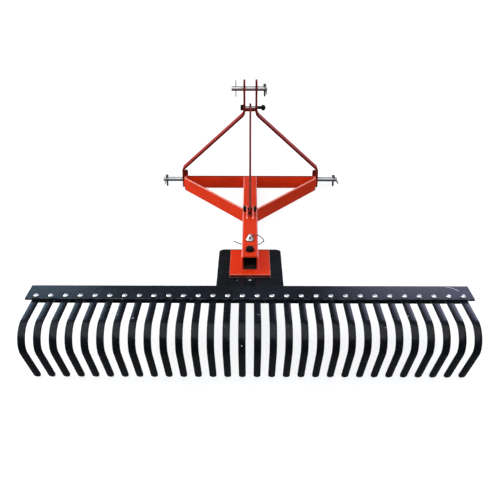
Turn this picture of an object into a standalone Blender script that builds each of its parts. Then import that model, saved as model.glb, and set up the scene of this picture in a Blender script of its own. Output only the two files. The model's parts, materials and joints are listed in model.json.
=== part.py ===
"""Three-point landscape rake: a row of spring tines on a head that swivels under a small A-frame hitch.

Metres. The rake is modelled level, with the origin in the middle of the row of tine bolts, on top of
the beam: +X is right as seen from behind, +Y is forward to the tractor, +Z is up. An empty then tips
it nose down onto its tine tips and crossbar, as it stands when it is unhitched.
"""

import math

import bmesh
import bpy
from mathutils import Matrix, Vector

# Gaps
GAP = 0.0003                     # between pieces that are welded or rest on each other
RUNNING_GAP = 0.0005             # between the two plates of the swivel, and round the kingpin

# Tines
TINE_COUNT = 30
TINE_PITCH = 0.0546
TINE_WIDTH = 0.026
TINE_THICKNESS = 0.008
TINE_FRONT_CLEARANCE = 0.007     # from the tine's front end to the beam's leg
TINE_TAIL = 0.147                # straight run behind the bolt
TINE_BEND_RADIUS = 0.070         # to the middle of the thickness
TINE_LEAN = math.radians(26)     # of the lower leg, forward from upright
TINE_DROP = 0.266                # from the straight run down to the tip

# Beam, an angle iron with its leg at the front
BEAM_END_MARGIN = 0.0372         # from the last tine's middle to the beam's end
BEAM_THICKNESS = 0.008
BEAM_BACK = 0.028                # flange behind the bolts
BEAM_FRONT = 0.065               # flange ahead of the bolts, to the leg's face
BEAM_LEG_HEIGHT = 0.076

# Swivel plate, under the boom, and its ribs
SWIVEL_PLATE_WIDTH = 0.258
SWIVEL_PLATE_LENGTH = 0.301
SWIVEL_PLATE_THICKNESS = 0.010
SWIVEL_PLATE_STEP = 0.006        # its top lies this far below the beam's
SWIVEL_PLATE_CORNER = 0.022
SIDE_HOLE_X = -0.057
SIDE_HOLE_BACK = 0.092           # behind the kingpin
RIB_THICKNESS = 0.008
RIB_X = 0.060
RIB_LENGTH = 0.235
RIB_TIP_HEIGHT = 0.012
RIB_LEG_MARGIN = 0.004           # the rib stops this far above the leg's lower edge

# Pivot: kingpin, lock pin and the plate under the boom
KINGPIN_AHEAD = 0.1487           # from the leg's face to the kingpin
KINGPIN_DIAMETER = 0.019
KINGPIN_FLATS = 0.0286
KINGPIN_HEAD_HEIGHT = 0.012
KINGPIN_NUT_HEIGHT = 0.016
LOCK_RADIUS = 0.090              # from the kingpin to the lock holes
LOCK_PIN_DIAMETER = 0.020
LOCK_HEAD_DIAMETER = 0.032
LOCK_HEAD_HEIGHT = 0.027
LOCK_HEAD_EYE = 0.007
LOCK_PIN_LIFT = 0.001            # its end stays this far above the swivel plate's path
PIVOT_PLATE_WIDTH = 0.160
PIVOT_PLATE_LENGTH = 0.204
PIVOT_PLATE_THICKNESS = 0.012
PIVOT_PLATE_BACK = 0.079         # behind the kingpin

# Boom
TUBE_SIDE = 0.065
TUBE_WALL = 0.006
TUBE_BACK = 0.048                # open end behind the kingpin
BOOM_REACH = 0.786               # from the kingpin to the crossbar's rear face

# Hitch frame
BAR_HEIGHT = 0.0635
BAR_THICKNESS = 0.010
HITCH_SPREAD = 0.683             # between the outer faces of the mast's feet
DIAGONAL_INNER_SETBACK = 0.389   # where it meets the boom, behind the crossbar's rear face
DIAGONAL_FLANGE = 0.024
DIAGONAL_BEND_RADIUS = 0.014
MAST_WIDTH = 0.050
MAST_BACK = 0.015                # mast bar's rear edge behind the crossbar's rear face
MAST_FOOT_Z = 0.020
MAST_LOWER_BEND_Z = 0.112
MAST_UPPER_BEND_Z = 0.394
MAST_TOP_Z = 0.551
MAST_LOWER_BEND_RADIUS = 0.018
MAST_UPPER_BEND_RADIUS = 0.036
MAST_THROAT = 0.0474             # between the mast bars' inner faces at the top
CORNER_LUG_WIDTH = 0.017
CORNER_LUG_HEIGHT = 0.033

# Hitch pins
LOWER_PIN_DIAMETER = 0.0222
LOWER_PIN_REACH = 0.100          # out from the mast's face
LOWER_PIN_Z = 0.053
TOP_PIN_DIAMETER = 0.022
TOP_PIN_LEFT = 0.091
TOP_PIN_RIGHT = 0.080
MAST_HEIGHT = 0.460              # from the lower pins up to the top pin
LINCH_DIAMETER = 0.0095
LINCH_ABOVE = 0.003              # stem above the hitch pin, under its head
LINCH_BELOW = 0.026              # stem below the hitch pin
LINCH_HEAD_DIAMETER = 0.015
LINCH_HEAD_HEIGHT = 0.010
LINCH_END_MARGIN = 0.019         # from the hole to the end of a lower pin
TOP_LINCH_END_MARGIN = 0.012
CLIP_WIRE = 0.0038
CLIP_LEG = 0.078
CLIP_END_MARGIN = 0.022

# Rear brace, its bolts and lugs
BRACE_WIDTH = 0.040
MAST_BOLT_Z = 0.422
MAST_BOLT_DIAMETER = 0.016
MAST_BOLT_FLATS = 0.024
MAST_BOLT_HEAD = 0.014
MAST_BOLT_THREAD = 0.020         # from the mast bar to the nut
MAST_BOLT_NUT = 0.015
CROSSPIECE_HEIGHT = 0.012
CROSSPIECE_THICKNESS = 0.006
CROSSPIECE_CLEARANCE = 0.003     # round the brace's end
LUG_BOLT_SETBACK = 0.448         # behind the crossbar's rear face
LUG_BOLT_HEIGHT = 0.025          # above the boom
LUG_BOLT_DIAMETER = 0.014
LUG_BOLT_FLATS = 0.022
LUG_BOLT_HEAD = 0.010
LUG_GAP = 0.020
LUG_THICKNESS = 0.006
LUG_LENGTH = 0.084
LUG_CROWN_RADIUS = 0.016         # round the bolt

# Lock wire, a spring wire from the lock pin's head round the boom
WIRE_DIAMETER = 0.004

# Mesh fineness
ROUND_SIDES = 24
WIRE_SIDES_LEVEL = 1
HEX_SIDES = 6
ARC_STEPS = 8

# Heights and places that follow from the sizes above
BEAM_LENGTH = (TINE_COUNT - 1) * TINE_PITCH + 2 * BEAM_END_MARGIN
SWIVEL_TOP = -SWIVEL_PLATE_STEP
SWIVEL_BOTTOM = SWIVEL_TOP - SWIVEL_PLATE_THICKNESS
PIVOT_BOTTOM = SWIVEL_TOP + RUNNING_GAP
PIVOT_TOP = PIVOT_BOTTOM + PIVOT_PLATE_THICKNESS
TUBE_BOTTOM = PIVOT_TOP + GAP
TUBE_TOP = TUBE_BOTTOM + TUBE_SIDE
SWIVEL_BACK_Y = BEAM_FRONT + GAP
KINGPIN_Y = BEAM_FRONT + KINGPIN_AHEAD
LOCK_PIN_Y = KINGPIN_Y + LOCK_RADIUS
CROSSBAR_Y = KINGPIN_Y + BOOM_REACH
BAR_BOTTOM = TUBE_TOP - BAR_HEIGHT
MAST_REAR_Y = CROSSBAR_Y - MAST_BACK
MAST_Y = MAST_REAR_Y + MAST_WIDTH / 2
MAST_INNER_X = HITCH_SPREAD / 2 - BAR_THICKNESS
TOP_PIN_Z = LOWER_PIN_Z + MAST_HEIGHT
LUG_BOLT_Y = CROSSBAR_Y - LUG_BOLT_SETBACK
LUG_BOLT_Z = TUBE_TOP + LUG_BOLT_HEIGHT


def clear_scene():
    for obj in list(bpy.data.objects):
        bpy.data.objects.remove(obj, do_unlink=True)


def make_material(name, colour, roughness, metallic):
    material = bpy.data.materials.new(name)
    material.use_nodes = True
    shader = material.node_tree.nodes["Principled BSDF"]
    shader.inputs["Base Color"].default_value = (*colour, 1.0)
    shader.inputs["Roughness"].default_value = roughness
    shader.inputs["Metallic"].default_value = metallic
    return material


clear_scene()
RED_PAINT = make_material("red_paint", (0.76, 0.05, 0.015), 0.35, 0.0)
BLACK_COAT = make_material("black_coat", (0.018, 0.021, 0.028), 0.38, 0.0)
ZINC_PLATE = make_material("zinc_plate", (0.62, 0.63, 0.64), 0.30, 1.0)
BLACK_OXIDE = make_material("black_oxide", (0.012, 0.012, 0.013), 0.45, 0.6)


# The empties: the stand carries the whole rake, the kingpin axis carries the head that swivels.

def make_empty(name, location, parent=None):
    empty = bpy.data.objects.new(name, None)
    bpy.context.scene.collection.objects.link(empty)
    empty.location = location
    empty.parent = parent
    return empty


STAND = make_empty("stand", (0, 0, 0))
KINGPIN_AXIS = make_empty("kingpin_axis", (0, KINGPIN_Y, SWIVEL_TOP), STAND)


def add_object(name, mesh, material, origin, parent=STAND):
    """Puts a mesh made in level coordinates into the scene as one piece with its origin at origin."""
    obj = bpy.data.objects.new(name, mesh)
    bpy.context.scene.collection.objects.link(obj)
    mesh.transform(Matrix.Translation(-Vector(origin)))
    if not mesh.materials:
        mesh.materials.append(material)
    obj.parent = parent
    obj.location = Vector(origin) - parent.location if parent is KINGPIN_AXIS else Vector(origin)
    return obj


def mesh_from(name, build):
    """A mesh whose geometry build(bm) adds, with its faces turned outwards and round stretches smooth."""
    bm = bmesh.new()
    build(bm)
    bmesh.ops.recalc_face_normals(bm, faces=bm.faces)
    mesh = bpy.data.meshes.new(name)
    bm.to_mesh(mesh)
    bm.free()
    mesh.shade_smooth()
    mesh.set_sharp_from_angle(angle=math.radians(30))
    return mesh


# Shapes cut from plate and flat bar: an outline in one plane, extruded across it.

PLANES = {
    "XY": lambda a, b, c: (a, b, c),
    "XZ": lambda a, b, c: (a, c, b),
    "YZ": lambda a, b, c: (c, a, b),
}


def extruded(name, outline, plane, low, high):
    place = PLANES[plane]

    def build(bm):
        face = bm.faces.new([bm.verts.new(place(a, b, low)) for a, b in outline])
        moved = bmesh.ops.extrude_face_region(bm, geom=[face])
        verts = [v for v in moved["geom"] if isinstance(v, bmesh.types.BMVert)]
        bmesh.ops.translate(bm, verts=verts, vec=place(0, 0, high - low))

    return mesh_from(name, build)


def arc(centre, radius, start, end, steps=ARC_STEPS):
    """Points on an arc, both ends included, with angles in radians."""
    angles = [start + (end - start) * i / steps for i in range(steps + 1)]
    return [(centre[0] + radius * math.cos(a), centre[1] + radius * math.sin(a)) for a in angles]


def rounded_path(corners, radii, steps=ARC_STEPS):
    """The corners of an open path, with each inner corner replaced by an arc of its radius."""
    points = [Vector(corners[0])]
    for before, corner, after, radius in zip(corners, corners[1:], corners[2:], radii):
        corner = Vector(corner)
        to_before = (Vector(before) - corner).normalized()
        to_after = (Vector(after) - corner).normalized()
        half = to_before.angle(to_after) / 2
        centre = corner + (to_before + to_after).normalized() * radius / math.sin(half)
        start = corner + to_before * radius / math.tan(half) - centre
        turn = (math.pi - 2 * half) * (1 if to_before.cross(start) > 0 else -1)
        for i in range(steps + 1):
            points.append(centre + Matrix.Rotation(turn * i / steps, 2) @ start)
    points.append(Vector(corners[-1]))
    return points


def offset_path(path, distance):
    """The path moved sideways, to its left when distance is positive, with mitred corners."""
    moved = []
    for i, point in enumerate(path):
        ahead = (path[min(i + 1, len(path) - 1)] - path[min(i, len(path) - 2)]).normalized()
        behind = (path[max(i, 1)] - path[max(i - 1, 0)]).normalized()
        left = Vector((-(ahead + behind).y, (ahead + behind).x)).normalized()
        mitre = left.dot(Vector((-ahead.y, ahead.x)))
        moved.append(point + left * distance / mitre)
    return moved


def strip_outline(path, thickness):
    return offset_path(path, thickness / 2) + offset_path(path, -thickness / 2)[::-1]


# Turned and hexagonal pieces: rings of equal count, stacked along an axis.

AXES = {
    "X": Matrix(((0, 0, 1), (1, 0, 0), (0, 1, 0))),
    "Y": Matrix(((1, 0, 0), (0, 0, 1), (0, -1, 0))),
    "Z": Matrix.Identity(3),
}


def ring_radius(angle, radius, is_hex):
    """Half the distance across flats at an angle where is_hex, or a plain radius."""
    if not is_hex:
        return radius
    sector = 2 * math.pi / HEX_SIDES
    return radius / math.cos((angle + sector / 2) % sector - sector / 2)


def turned(name, start, axis, rings):
    """Stacks rings of (distance along the axis, radius, is_hex) from start, closed at both ends."""
    turn = AXES[axis]

    def build(bm):
        loops = []
        for along, radius, is_hex in rings:
            loop = []
            for i in range(ROUND_SIDES):
                angle = 2 * math.pi * i / ROUND_SIDES
                r = ring_radius(angle, radius, is_hex)
                point = turn @ Vector((r * math.cos(angle), r * math.sin(angle), along))
                loop.append(bm.verts.new(Vector(start) + point))
            loops.append(loop)
        for lower, upper in zip(loops, loops[1:]):
            for i in range(ROUND_SIDES):
                j = (i + 1) % ROUND_SIDES
                bm.faces.new((lower[i], lower[j], upper[j], upper[i]))
        bm.faces.new(loops[0][::-1])
        bm.faces.new(loops[-1])

    return mesh_from(name, build)


def cut(obj, cutter_mesh):
    """Cuts a closed mesh, made in level coordinates, out of a piece."""
    cutter = bpy.data.objects.new(cutter_mesh.name, cutter_mesh)
    bpy.context.scene.collection.objects.link(cutter)
    cutter.parent = STAND
    cutter.hide_render = True
    cutter.display_type = "WIRE"
    modifier = obj.modifiers.new(cutter_mesh.name, "BOOLEAN")
    modifier.operation = "DIFFERENCE"
    modifier.object = cutter
    return cutter


def drill(obj, centre, axis, diameter, length):
    """Drills a round hole of some length, centred on centre along an axis."""
    radius = diameter / 2
    start = Vector(centre) - AXES[axis] @ Vector((0, 0, length / 2))
    hole = turned(f"{obj.name}_hole", start, axis, [(0, radius, False), (length, radius, False)])
    return cut(obj, hole)


# Head: beam, swivel plate and ribs

def make_beam():
    outline = [
        (-BEAM_BACK, 0), (BEAM_FRONT, 0), (BEAM_FRONT, -BEAM_LEG_HEIGHT),
        (BEAM_FRONT - BEAM_THICKNESS, -BEAM_LEG_HEIGHT),
        (BEAM_FRONT - BEAM_THICKNESS, -BEAM_THICKNESS), (-BEAM_BACK, -BEAM_THICKNESS),
    ]
    mesh = extruded("rake_beam", outline, "YZ", -BEAM_LENGTH / 2, BEAM_LENGTH / 2)
    return add_object("rake_beam", mesh, BLACK_COAT, (0, 0, 0), KINGPIN_AXIS)


def make_swivel_plate():
    half = SWIVEL_PLATE_WIDTH / 2
    front = SWIVEL_BACK_Y + SWIVEL_PLATE_LENGTH
    r = SWIVEL_PLATE_CORNER
    outline = (
        [(-half, SWIVEL_BACK_Y), (half, SWIVEL_BACK_Y)]
        + arc((half - r, front - r), r, 0, math.pi / 2)
        + arc((-half + r, front - r), r, math.pi / 2, math.pi)
    )
    mesh = extruded("swivel_plate", outline, "XY", SWIVEL_BOTTOM, SWIVEL_TOP)
    plate = add_object("swivel_plate", mesh, BLACK_COAT, (0, KINGPIN_Y, SWIVEL_TOP), KINGPIN_AXIS)
    depth = 3 * SWIVEL_PLATE_THICKNESS
    middle = (SWIVEL_TOP + SWIVEL_BOTTOM) / 2
    lock_hole = LOCK_PIN_DIAMETER + 2 * RUNNING_GAP
    drill(plate, (0, KINGPIN_Y, middle), "Z", KINGPIN_DIAMETER + 2 * RUNNING_GAP, depth)
    drill(plate, (0, KINGPIN_Y + LOCK_RADIUS, middle), "Z", lock_hole, depth)
    drill(plate, (0, KINGPIN_Y - LOCK_RADIUS, middle), "Z", lock_hole, depth)
    drill(plate, (SIDE_HOLE_X, KINGPIN_Y - SIDE_HOLE_BACK, middle), "Z", lock_hole, depth)
    return plate


def make_rib(name, x):
    top = SWIVEL_BOTTOM - GAP
    foot = -BEAM_LEG_HEIGHT + RIB_LEG_MARGIN
    outline = [
        (SWIVEL_BACK_Y, top), (SWIVEL_BACK_Y, foot),
        (SWIVEL_BACK_Y + RIB_LENGTH, top - RIB_TIP_HEIGHT), (SWIVEL_BACK_Y + RIB_LENGTH, top),
    ]
    mesh = extruded(name, outline, "YZ", x - RIB_THICKNESS / 2, x + RIB_THICKNESS / 2)
    return add_object(name, mesh, BLACK_COAT, (x, SWIVEL_BACK_Y, top), KINGPIN_AXIS)


# Tines: one flat spring bar, bent back on itself, with a round tip

def make_tine_mesh():
    """The tine at X = 0. Its stations run from its front end to its tip, narrowing round the tip."""
    run_z = -BEAM_THICKNESS - GAP - TINE_THICKNESS / 2
    front_y = BEAM_FRONT - BEAM_THICKNESS - TINE_FRONT_CLEARANCE
    bend = math.pi / 2 + TINE_LEAN
    corner_y = -TINE_TAIL - TINE_BEND_RADIUS * math.tan(bend / 2)
    tip_z = run_z - TINE_DROP
    tip_y = corner_y + TINE_DROP * math.tan(TINE_LEAN)
    path = rounded_path([(front_y, run_z), (corner_y, run_z), (tip_y, tip_z)], [TINE_BEND_RADIUS])
    half = TINE_WIDTH / 2
    tip = path.pop()
    up_leg = (path[-1] - tip).normalized()
    widths = [half] * len(path)
    for i in range(ARC_STEPS // 2 + 1):
        angle = i * math.pi / 2 / (ARC_STEPS // 2 + 0.4)
        path.append(tip + up_leg * half * (1 - math.sin(angle)))
        widths.append(half * math.cos(angle))
    outer = offset_path(path, -TINE_THICKNESS / 2)
    inner = offset_path(path, TINE_THICKNESS / 2)

    def build(bm):
        loops = []
        for o, i, w in zip(outer, inner, widths):
            corners = ((-w, *o), (w, *o), (w, *i), (-w, *i))
            loops.append([bm.verts.new(corner) for corner in corners])
        for near, far in zip(loops, loops[1:]):
            for a in range(4):
                b = (a + 1) % 4
                bm.faces.new((near[a], near[b], far[b], far[a]))
        bm.faces.new(loops[0][::-1])
        bm.faces.new(loops[-1])

    return mesh_from("tine", build)


def make_tines():
    mesh = make_tine_mesh()
    mesh.materials.append(BLACK_COAT)
    tines = []
    for i in range(TINE_COUNT):
        tine = bpy.data.objects.new(f"tine_{i + 1:02d}", mesh)
        bpy.context.scene.collection.objects.link(tine)
        x = (i - (TINE_COUNT - 1) / 2) * TINE_PITCH
        tine.parent = KINGPIN_AXIS
        tine.location = Vector((x, 0, 0)) - KINGPIN_AXIS.location
        tines.append(tine)
    return tines


# Pivot: plate, kingpin and lock pin

def make_pivot_plate():
    half = PIVOT_PLATE_WIDTH / 2
    back = KINGPIN_Y - PIVOT_PLATE_BACK
    outline = [(-half, back), (half, back), (half, back + PIVOT_PLATE_LENGTH), (-half, back + PIVOT_PLATE_LENGTH)]
    mesh = extruded("pivot_plate", outline, "XY", PIVOT_BOTTOM, PIVOT_TOP)
    plate = add_object("pivot_plate", mesh, RED_PAINT, (0, KINGPIN_Y, PIVOT_BOTTOM))
    middle = (PIVOT_TOP + PIVOT_BOTTOM) / 2
    drill(plate, (0, KINGPIN_Y, middle), "Z", KINGPIN_DIAMETER + 2 * GAP, 3 * PIVOT_PLATE_THICKNESS)
    drill(plate, (0, LOCK_PIN_Y, middle), "Z", LOCK_PIN_DIAMETER + 2 * GAP, 3 * PIVOT_PLATE_THICKNESS)
    return plate


def make_kingpin():
    """A bolt through boom, pivot plate and swivel plate, with its nut under the swivel plate."""
    nut_top = SWIVEL_BOTTOM - RUNNING_GAP
    nut_bottom = nut_top - KINGPIN_NUT_HEIGHT
    end = KINGPIN_NUT_HEIGHT / 4
    head_bottom = TUBE_TOP + GAP
    shank, flats = KINGPIN_DIAMETER / 2, KINGPIN_FLATS / 2
    levels = [
        (nut_bottom - end, shank, False), (nut_bottom, shank, False),
        (nut_bottom, flats, True), (nut_top, flats, True),
        (nut_top, shank, False), (head_bottom, shank, False),
        (head_bottom, flats, True), (head_bottom + KINGPIN_HEAD_HEIGHT, flats, True),
    ]
    rings = [(z - levels[0][0], r, is_hex) for z, r, is_hex in levels]
    mesh = turned("kingpin", (0, KINGPIN_Y, levels[0][0]), "Z", rings)
    return add_object("kingpin", mesh, BLACK_OXIDE, (0, KINGPIN_Y, SWIVEL_TOP))


def make_lock_pin():
    """A pin with a cone head. It drops through boom and pivot plate, and its head has a cross hole."""
    end = PIVOT_BOTTOM + LOCK_PIN_LIFT
    seat = TUBE_TOP + GAP
    shank, base = LOCK_PIN_DIAMETER / 2, LOCK_HEAD_DIAMETER / 2
    crown = base * 0.22
    levels = [
        (end, shank * 0.8), (end + shank * 0.2, shank), (seat, shank), (seat, base),
        (seat + LOCK_HEAD_HEIGHT * 0.16, base), (seat + LOCK_HEAD_HEIGHT * 0.93, crown),
        (seat + LOCK_HEAD_HEIGHT, crown * 0.5),
    ]
    rings = [(z - end, r, False) for z, r in levels]
    mesh = turned("lock_pin", (0, LOCK_PIN_Y, end), "Z", rings)
    pin = add_object("lock_pin", mesh, ZINC_PLATE, (0, LOCK_PIN_Y, seat))
    drill(pin, (0, LOCK_PIN_Y, seat + LOCK_HEAD_HEIGHT / 2), "Y", LOCK_HEAD_EYE, 2 * LOCK_HEAD_DIAMETER)
    return pin


# Boom and hitch frame

def make_boom_tube():
    half = TUBE_SIDE / 2
    inner = half - TUBE_WALL
    back = KINGPIN_Y - TUBE_BACK
    front = CROSSBAR_Y - GAP
    square = [(-half, TUBE_BOTTOM), (half, TUBE_BOTTOM), (half, TUBE_TOP), (-half, TUBE_TOP)]
    middle = (TUBE_BOTTOM + TUBE_TOP) / 2
    bore = [(-inner, middle - inner), (inner, middle - inner), (inner, middle + inner), (-inner, middle + inner)]
    mesh = extruded("boom_tube", square, "XZ", back, front)
    tube = add_object("boom_tube", mesh, RED_PAINT, (0, KINGPIN_Y, TUBE_BOTTOM))
    cut(tube, extruded("boom_tube_bore", bore, "XZ", back - TUBE_SIDE, front + TUBE_SIDE))
    drill(tube, (0, KINGPIN_Y, middle), "Z", KINGPIN_DIAMETER + 2 * GAP, 2 * TUBE_SIDE)
    drill(tube, (0, LOCK_PIN_Y, middle), "Z", LOCK_PIN_DIAMETER + 2 * GAP, 2 * TUBE_SIDE)
    return tube


def make_crossbar():
    half = MAST_INNER_X - GAP
    outline = [(-half, BAR_BOTTOM), (half, BAR_BOTTOM), (half, TUBE_TOP), (-half, TUBE_TOP)]
    mesh = extruded("crossbar", outline, "XZ", CROSSBAR_Y, CROSSBAR_Y + BAR_THICKNESS)
    return add_object("crossbar", mesh, RED_PAINT, (0, CROSSBAR_Y, BAR_BOTTOM))


def make_diagonal(name, side):
    """A flat bar on edge, from a short flange inside the mast's foot back to the boom's side."""
    flange_x = MAST_INNER_X - GAP - BAR_THICKNESS / 2
    flange_front = CROSSBAR_Y - GAP
    boom_x = TUBE_SIDE / 2 + GAP
    corners = [
        (flange_x, flange_front), (flange_x, flange_front - DIAGONAL_FLANGE),
        (boom_x, CROSSBAR_Y - DIAGONAL_INNER_SETBACK),
    ]
    path = rounded_path(corners, [DIAGONAL_BEND_RADIUS], ARC_STEPS // 2)
    edges = []
    for distance in (BAR_THICKNESS / 2, -BAR_THICKNESS / 2):
        edge = offset_path(path, distance)
        run = (edge[-1] - edge[-2]).normalized()
        edge[-1] = edge[-1] + run * (boom_x - edge[-1].x) / run.x
        edges.append(edge)
    outline = [(side * point.x, point.y) for point in edges[0] + edges[1][::-1]]
    mesh = extruded(name, outline, "XY", BAR_BOTTOM, TUBE_TOP)
    return add_object(name, mesh, RED_PAINT, (side * flange_x, flange_front, BAR_BOTTOM))


def make_mast_bar(name, side):
    """A flat bar bent twice: upright foot, slope in to the throat, and an upright top."""
    foot_x = HITCH_SPREAD / 2 - BAR_THICKNESS / 2
    top_x = MAST_THROAT / 2 + BAR_THICKNESS / 2
    corners = [(foot_x, MAST_FOOT_Z), (foot_x, MAST_LOWER_BEND_Z), (top_x, MAST_UPPER_BEND_Z), (top_x, MAST_TOP_Z)]
    path = rounded_path(corners, [MAST_LOWER_BEND_RADIUS, MAST_UPPER_BEND_RADIUS])
    outline = [(side * point.x, point.y) for point in strip_outline(path, BAR_THICKNESS)]
    mesh = extruded(name, outline, "XZ", MAST_REAR_Y, MAST_REAR_Y + MAST_WIDTH)
    bar = add_object(name, mesh, RED_PAINT, (side * foot_x, MAST_Y, LOWER_PIN_Z))
    depth = 4 * BAR_THICKNESS
    drill(bar, (side * foot_x, MAST_Y, LOWER_PIN_Z), "X", LOWER_PIN_DIAMETER + 2 * GAP, depth)
    drill(bar, (side * top_x, MAST_Y, TOP_PIN_Z), "X", TOP_PIN_DIAMETER + 2 * GAP, depth)
    drill(bar, (side * top_x, MAST_Y, MAST_BOLT_Z), "X", MAST_BOLT_DIAMETER + 2 * GAP, depth)
    return bar


def make_corner_lug(name, side):
    """A small round-topped lug on the crossbar, inside the mast's bend."""
    radius = CORNER_LUG_WIDTH / 2
    outer = MAST_INNER_X - GAP
    base = TUBE_TOP + GAP
    crown = arc((outer - radius, base + CORNER_LUG_HEIGHT - radius), radius, 0, math.pi)
    outline = [(side * x, z) for x, z in [(outer - 2 * radius, base), (outer, base)] + crown]
    mesh = extruded(name, outline, "XZ", CROSSBAR_Y, CROSSBAR_Y + BAR_THICKNESS)
    return add_object(name, mesh, RED_PAINT, (side * (outer - radius), CROSSBAR_Y, base))


def make_crosspiece():
    """A small bar between the mast bars at their front edge, just clear of the brace's round end."""
    half = MAST_THROAT / 2 - GAP
    front = MAST_REAR_Y + MAST_WIDTH
    back = front - CROSSPIECE_THICKNESS
    reach = BRACE_WIDTH / 2 + CROSSPIECE_CLEARANCE
    drop = math.sqrt(max(reach ** 2 - (back - MAST_Y) ** 2, 0))
    top = MAST_BOLT_Z - drop
    outline = [(-half, top - CROSSPIECE_HEIGHT), (half, top - CROSSPIECE_HEIGHT), (half, top), (-half, top)]
    mesh = extruded("mast_crosspiece", outline, "XZ", back, front)
    return add_object("mast_crosspiece", mesh, RED_PAINT, (0, back, top))


# Brace from the mast's throat down to the boom, with its bolts and lugs

def make_brace():
    rise = math.atan2(MAST_BOLT_Z - LUG_BOLT_Z, MAST_Y - LUG_BOLT_Y)
    radius = BRACE_WIDTH / 2
    outline = (
        arc((MAST_Y, MAST_BOLT_Z), radius, rise - math.pi / 2, rise + math.pi / 2)
        + arc((LUG_BOLT_Y, LUG_BOLT_Z), radius, rise + math.pi / 2, rise + math.pi * 3 / 2)
    )
    mesh = extruded("rear_brace", outline, "YZ", -BAR_THICKNESS / 2, BAR_THICKNESS / 2)
    brace = add_object("rear_brace", mesh, RED_PAINT, (0, LUG_BOLT_Y, LUG_BOLT_Z))
    depth = 3 * BAR_THICKNESS
    drill(brace, (0, MAST_Y, MAST_BOLT_Z), "X", MAST_BOLT_DIAMETER + 2 * GAP, depth)
    drill(brace, (0, LUG_BOLT_Y, LUG_BOLT_Z), "X", LUG_BOLT_DIAMETER + 2 * GAP, depth)
    return brace


def make_brace_lug(name, side):
    """One of two ears welded to the top of the boom."""
    base = TUBE_TOP + GAP
    half = LUG_LENGTH / 2
    shoulder = math.radians(20)
    crown = arc((LUG_BOLT_Y, LUG_BOLT_Z), LUG_CROWN_RADIUS, shoulder, math.pi - shoulder)
    outline = [(LUG_BOLT_Y - half, base), (LUG_BOLT_Y + half, base)] + crown
    near, far = sorted((side * LUG_GAP / 2, side * (LUG_GAP / 2 + LUG_THICKNESS)))
    mesh = extruded(name, outline, "YZ", near, far)
    lug = add_object(name, mesh, RED_PAINT, (near, LUG_BOLT_Y, LUG_BOLT_Z))
    drill(lug, ((near + far) / 2, LUG_BOLT_Y, LUG_BOLT_Z), "X", LUG_BOLT_DIAMETER + 2 * GAP, 4 * LUG_THICKNESS)
    return lug


def make_cross_bolt(name, centre, diameter, flats, head, nut, left, right, thread, material):
    """A bolt along X: its head outside X = left, its nut a thread's length outside X = right."""
    shank, hexagon = diameter / 2, flats / 2
    end = thread + nut + GAP + diameter / 5
    levels = [
        (left - GAP - head, hexagon, True), (left - GAP, hexagon, True),
        (left - GAP, shank, False), (right + GAP + thread, shank, False),
        (right + GAP + thread, hexagon, True), (right + GAP + thread + nut, hexagon, True),
        (right + GAP + thread + nut, shank, False), (right + end, shank, False),
    ]
    rings = [(x - levels[0][0], r, is_hex) for x, r, is_hex in levels]
    mesh = turned(name, (levels[0][0], centre[0], centre[1]), "X", rings)
    return add_object(name, mesh, material, (0, *centre))


# Hitch pins with their linch pins and clip

def make_hitch_pin(name, low, high, y, z, diameter, cross_holes):
    """A plain pin along X with chamfered ends, drilled upright at each (x, diameter) of cross_holes."""
    radius = diameter / 2
    chamfer = diameter / 8
    rings = [
        (0, radius - chamfer, False), (chamfer, radius, False),
        (high - low - chamfer, radius, False), (high - low, radius - chamfer, False),
    ]
    mesh = turned(name, (low, y, z), "X", rings)
    pin = add_object(name, mesh, ZINC_PLATE, ((low + high) / 2, y, z))
    for x, hole in cross_holes:
        drill(pin, (x, y, z), "Z", hole + 2 * GAP, 2 * diameter)
    return pin


def tube_along(name, points, diameter, material, cyclic=False, parent=STAND):
    """A round wire along points, as a curve with filled ends."""
    curve = bpy.data.curves.new(name, "CURVE")
    curve.dimensions = "3D"
    curve.bevel_depth = diameter / 2
    curve.bevel_resolution = WIRE_SIDES_LEVEL
    curve.use_fill_caps = not cyclic
    spline = curve.splines.new("POLY")
    spline.points.add(len(points) - 1)
    origin = Vector(points[0])
    for slot, point in zip(spline.points, points):
        slot.co = (*(Vector(point) - origin), 1)
    spline.use_cyclic_u = cyclic
    curve.materials.append(material)
    wire = bpy.data.objects.new(name, curve)
    bpy.context.scene.collection.objects.link(wire)
    wire.parent = parent
    wire.location = origin
    return wire


def smooth_route(points, steps):
    """A Catmull-Rom curve through points, read at equal steps between them."""
    knots = [Vector(p) for p in points]
    knots = [2 * knots[0] - knots[1]] + knots + [2 * knots[-1] - knots[-2]]
    route = []
    for p0, p1, p2, p3 in zip(knots, knots[1:], knots[2:], knots[3:]):
        for i in range(steps):
            t = i / steps
            route.append(0.5 * (
                2 * p1 + (p2 - p0) * t + (2 * p0 - 5 * p1 + 4 * p2 - p3) * t ** 2
                + (3 * p1 - 3 * p2 + p3 - p0) * t ** 3
            ))
    route.append(knots[-2])
    return route


def make_linch_pin(name, x, y, z, pin_diameter):
    """A short pin dropped through the hitch pin, with a round head."""
    top = z + pin_diameter / 2 + LINCH_ABOVE
    bottom = z - pin_diameter / 2 - LINCH_BELOW
    stem, head = LINCH_DIAMETER / 2, LINCH_HEAD_DIAMETER / 2
    levels = [
        (bottom, stem * 0.5), (bottom + stem, stem), (top, stem), (top, head * 0.8),
        (top + LINCH_HEAD_HEIGHT * 0.2, head), (top + LINCH_HEAD_HEIGHT * 0.8, head),
        (top + LINCH_HEAD_HEIGHT, head * 0.7),
    ]
    rings = [(level - bottom, r, False) for level, r in levels]
    return add_object(name, turned(name, (x, y, bottom), "Z", rings), ZINC_PLATE, (x, y, z))


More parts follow.
